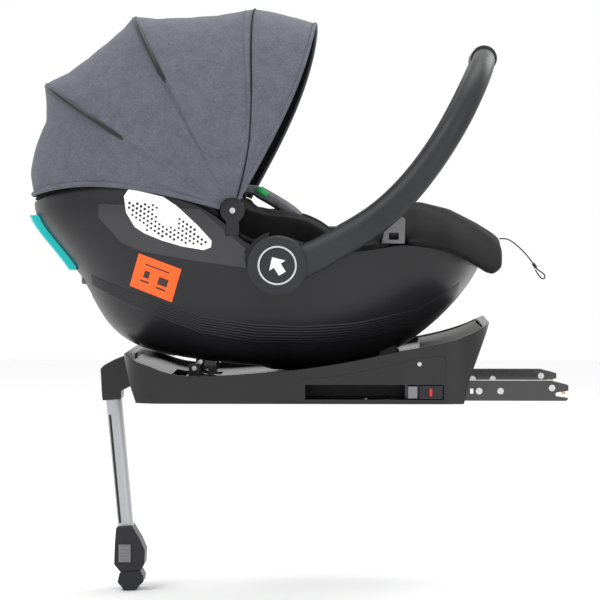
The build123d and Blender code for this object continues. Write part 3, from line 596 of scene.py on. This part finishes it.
def build_vent_holes():
    """Small round holes on a turned grid, thinned out in a soft drift."""
    outline = [(-0.241, 0.281), (-0.204, 0.279), (-0.172, 0.266), (-0.149, 0.245), (-0.131, 0.226),
               (-0.138, 0.220), (-0.164, 0.225), (-0.191, 0.233), (-0.216, 0.243), (-0.229, 0.251),
               (-0.239, 0.267)]
    hit = caster("vent_panels")
    middle_x, middle_z = -0.186, 0.250
    turn = math.radians(-35)
    pitch, row_gap = 0.0064, 0.87
    reach_out, corners, lift = 14, 12, 0.00012
    for name, side in SIDES.items():
        points, faces = [], []
        for i in range(-reach_out, reach_out + 1):
            for j in range(-reach_out, reach_out + 1):
                dx = (i + (0.5 if j % 2 else 0)) * pitch
                dz = j * pitch * row_gap
                x = middle_x + dx * math.cos(turn) - dz * math.sin(turn)
                z = middle_z + dx * math.sin(turn) + dz * math.cos(turn)
                drift = math.sin(70 * x + 2) * math.sin(95 * z + 40 * x)
                if not inside(outline, x, z) or drift < -0.45:
                    continue
                y, _ = hit(x, z, side)
                if y is None:
                    continue
                radius = 0.0017 + 0.0003 * drift
                first = len(points)
                for k in range(corners):
                    a = 2 * math.pi * k / corners
                    px, pz = x + radius * math.cos(a), z + radius * math.sin(a)
                    py, _ = hit(px, pz, side)
                    points.append((px, (py if py is not None else y) + side * lift, pz))
                faces.append(tuple(range(first, first + corners))[::1 if side > 0 else -1])
        dots = add_mesh(f"vent_holes_{name}", points, faces, "vent_hole", False)
        skin = dots.modifiers.new("skin", "SOLIDIFY")
        skin.thickness = 0.0004
        skin.offset = -1
        baked(dots)
        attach(dots, "carrier")


def build_label_marks():
    """Plain blocks and bars on the label, with no lettering."""
    hit = caster("safety_label")
    tilt = math.radians(-20)
    middle_x, middle_z = -0.2045, 0.1755
    rows, columns, lift = 9, 13, 0.0003
    parts = []
    for u, v, width, height in ((-0.013, 0.000, 0.008, 0.010), (0.012, -0.002, 0.014, 0.011),
                                (-0.013, -0.0105, 0.013, 0.0024), (0.012, -0.0125, 0.014, 0.0024),
                                (-0.001, 0.0135, 0.036, 0.0018)):
        points = []
        for i in range(rows):
            for j in range(columns):
                a = u + width * (j / (columns - 1) - 0.5)
                b = v + height * (i / (rows - 1) - 0.5)
                x = middle_x + a * math.cos(tilt) - b * math.sin(tilt)
                z = middle_z + a * math.sin(tilt) + b * math.cos(tilt)
                y, _ = hit(x, z, -1)
                points.append((x, (y if y is not None else -SHELL_HALF) - lift, z))
        parts.append(add_mesh("mark", points, grid_faces(rows, columns), "label_print"))
    marks = join_meshes("label_marks", parts)
    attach(marks, "carrier")


# ============================================================ marks on the anchor grips
def build_grip_marks():
    """A red mark in the middle of each anchor grip."""
    x0, x1, z0, z1, face, proud = 0.1790, 0.1825, 0.0115, 0.0215, 0.1796, 0.0004
    faces = [(0, 1, 3, 2), (4, 6, 7, 5), (0, 4, 5, 1), (2, 3, 7, 6), (0, 2, 6, 4), (1, 5, 7, 3)]
    for name, side in SIDES.items():
        points = []
        for x in (x0, x1):
            for y in (side * face, side * (face + proud)):
                points += [(x, y, z0), (x, y, z1)]
        mark = add_mesh(f"grip_mark_{name}", points, faces, "buckle_red", smooth=False)
        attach(mark, f"anchor_{name}")


# ============================================================ support leg
def build_leg_painted_reflections():
    """A painted dark reflection band along each side of the leg's outer tube, laid on its rounded
    edge.
    """
    tilt = math.radians(5.25)
    down = Vector((math.sin(tilt), 0, -math.cos(tilt)))
    across = Vector((math.cos(tilt), 0, math.sin(tilt)))
    top = Vector((-0.277, 0, 0.001))
    half_width, corner, flat = 0.016, 0.008, 0.003
    first, width, lift = -0.0086, 0.0036, 0.00015
    columns = 6
    for name, side in SIDES.items():
        points = []
        for distance in (0.028, 0.186):
            for j in range(columns):
                offset = first + width * j / (columns - 1)
                drop = corner - math.sqrt(corner ** 2 - (abs(offset) - flat) ** 2)
                out = Vector((0, side * (half_width - drop + lift), 0))
                points.append(top + down * distance + across * offset + out)
        # painted reflection: this dark strip on the bright tube stands in for a dark reflection; it
        # is not a real channel
        reflection_band = add_mesh(f"leg_painted_reflection_{name}", points, grid_faces(2, columns), "vent_hole")
        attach(reflection_band, "leg_upper")


# ============================================================ handle details
def build_arrows():
    """A plain arrow inlaid in each handle button."""
    half_shaft, half_head, length = 0.0052, 0.0125, 0.013
    button_face, proud, sunk = 0.2214, 0.0006, -0.0008
    outline = [(-half_shaft, -length), (half_shaft, -length), (half_shaft, 0.0), (half_head, 0.0),
               (0, length), (-half_head, 0.0), (-half_shaft, 0.0)]
    turn = math.radians(32)
    for name, side in SIDES.items():
        face_y = side * button_face
        points = []
        for depth in (proud, sunk):
            for u, v in outline:
                x = HUB[0] + u * math.cos(turn) - v * math.sin(turn)
                z = HUB[1] + u * math.sin(turn) + v * math.cos(turn)
                points.append((x, face_y + side * depth, z))
        n = len(outline)
        faces = [tuple(range(n)), tuple(range(n, 2 * n))[::-1]]
        faces += [(k, (k + 1) % n, (k + 1) % n + n, k + n) for k in range(n)]
        arrow = add_mesh(f"arrow_{name}", points, faces, "arrow_grey", False)
        bevel = arrow.modifiers.new("edge", "BEVEL")
        bevel.width = 0.0003
        bevel.segments = 2
        baked(arrow)
        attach(arrow, f"handle_button_{name}")


# ============================================================ elastic cord
CORD_RADIUS = 0.001
# control points, mm
CORD_ROUTE = [
    (283, 0, 228), (291, 0.5, 228.6), (300, 1.5, 225), (309, 2, 218),
    (317.5, 2.2, 210), (325.5, 1.6, 201), (332, 1, 192),
]
LOOP_ROUTE = [
    (336, 0, 186), (341, 0.5, 181), (346, 1, 178.5), (349.5, 1.2, 174),
    (348, 1, 169.5), (343, 0.4, 171), (339, -0.6, 176), (335, -0.8, 183.4),
]


def nurbs(name, route):
    curve = bpy.data.curves.new(name, "CURVE")
    curve.dimensions = "3D"
    spline = curve.splines.new("NURBS")
    spline.points.add(len(route) - 1)
    for point, (x, y, z) in zip(spline.points, route):
        point.co = (x * MM, y * MM, z * MM, 1)
    spline.order_u = 3
    spline.use_endpoint_u = True
    spline.resolution_u = 10
    curve.bevel_depth = CORD_RADIUS
    curve.bevel_resolution = 3
    curve.materials.append(MATERIALS["elastic"])
    piece = bpy.data.objects.new(name, curve)
    bpy.context.scene.collection.objects.link(piece)
    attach(piece, "carrier")
    return piece


def build_cord():
    cord = nurbs("elastic_cord_line", CORD_ROUTE)
    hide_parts("elastic_cord")
    loop = nurbs("elastic_loop", LOOP_ROUTE)


# ============================================================ tags on the shoulder pads
def build_tags():
    parts = []
    for y in (-0.0755, 0.0755):
        line = [(-0.066, y, 0.300), (-0.058, y, 0.296), (-0.050, y, 0.291)]
        parts.append(tube("tag", line, 0.0042, "tag_green", 8, 0.25))
    tags = join_meshes("harness_tags", parts)
    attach(tags, "carrier")


# ============================================================ stage
def aimed(place, target):
    """Rotation that points a lamp or camera from place to target."""
    return (Vector(target) - Vector(place)).to_track_quat("-Z", "Y").to_euler()


def build_stage():
    low = cad_box[0][2]
    half = 6.0
    points = [(-half, -half, low), (half, -half, low), (half, half, low), (-half, half, low)]
    floor = add_mesh("floor", points, [(0, 1, 2, 3)], "vent_white", False)
    pale = bpy.data.materials.new("pale_floor")
    pale.use_nodes = True
    shader = pale.node_tree.nodes["Principled BSDF"]
    shader.inputs["Base Color"].default_value = (0.92, 0.92, 0.92, 1)
    shader.inputs["Roughness"].default_value = 0.9
    floor.data.materials[0] = pale
    world = bpy.data.worlds.new("studio")
    world.use_nodes = True
    background = world.node_tree.nodes["Background"]
    background.inputs["Color"].default_value = (1, 1, 1, 1)
    background.inputs["Strength"].default_value = 1.0
    bpy.context.scene.world = world
    bpy.context.scene.view_settings.view_transform = "Standard"
    for name, place, power, width in (
        ("key", (-1.8, -2.2, 2.6), 45, 1.6),
        ("front", (1.6, -3.0, 1.2), 20, 2.0),
        ("top", (0.2, 0.2, 2.6), 30, 1.8),
        ("rim", (1.8, 1.8, 1.8), 26, 1.4),
    ):
        light = bpy.data.lights.new(name, "AREA")
        light.energy = power
        light.size = width
        lamp = bpy.data.objects.new(name, light)
        lamp.location = place
        lamp.rotation_euler = aimed(place, (0, 0, 0.2))
        bpy.context.scene.collection.objects.link(lamp)


def build_camera():
    """The photo's point of view, from the right and a little in front and above."""
    place = (0.0986, -4.430, 0.2984)
    camera = bpy.data.cameras.new("camera")
    camera.lens = 183.3
    camera.sensor_width = 36
    view = bpy.data.objects.new("camera", camera)
    view.location = place
    view.rotation_euler = aimed(place, (-0.0058, 0, 0.1389))
    bpy.context.scene.collection.objects.link(view)
    bpy.context.scene.camera = view


build_camera()
build_stage()
build_cord()
build_canopy()
build_soft()
build_shell_details()
build_vent_holes()
build_label_marks()
build_grip_marks()
build_leg_painted_reflections()
build_arrows()
build_tags()
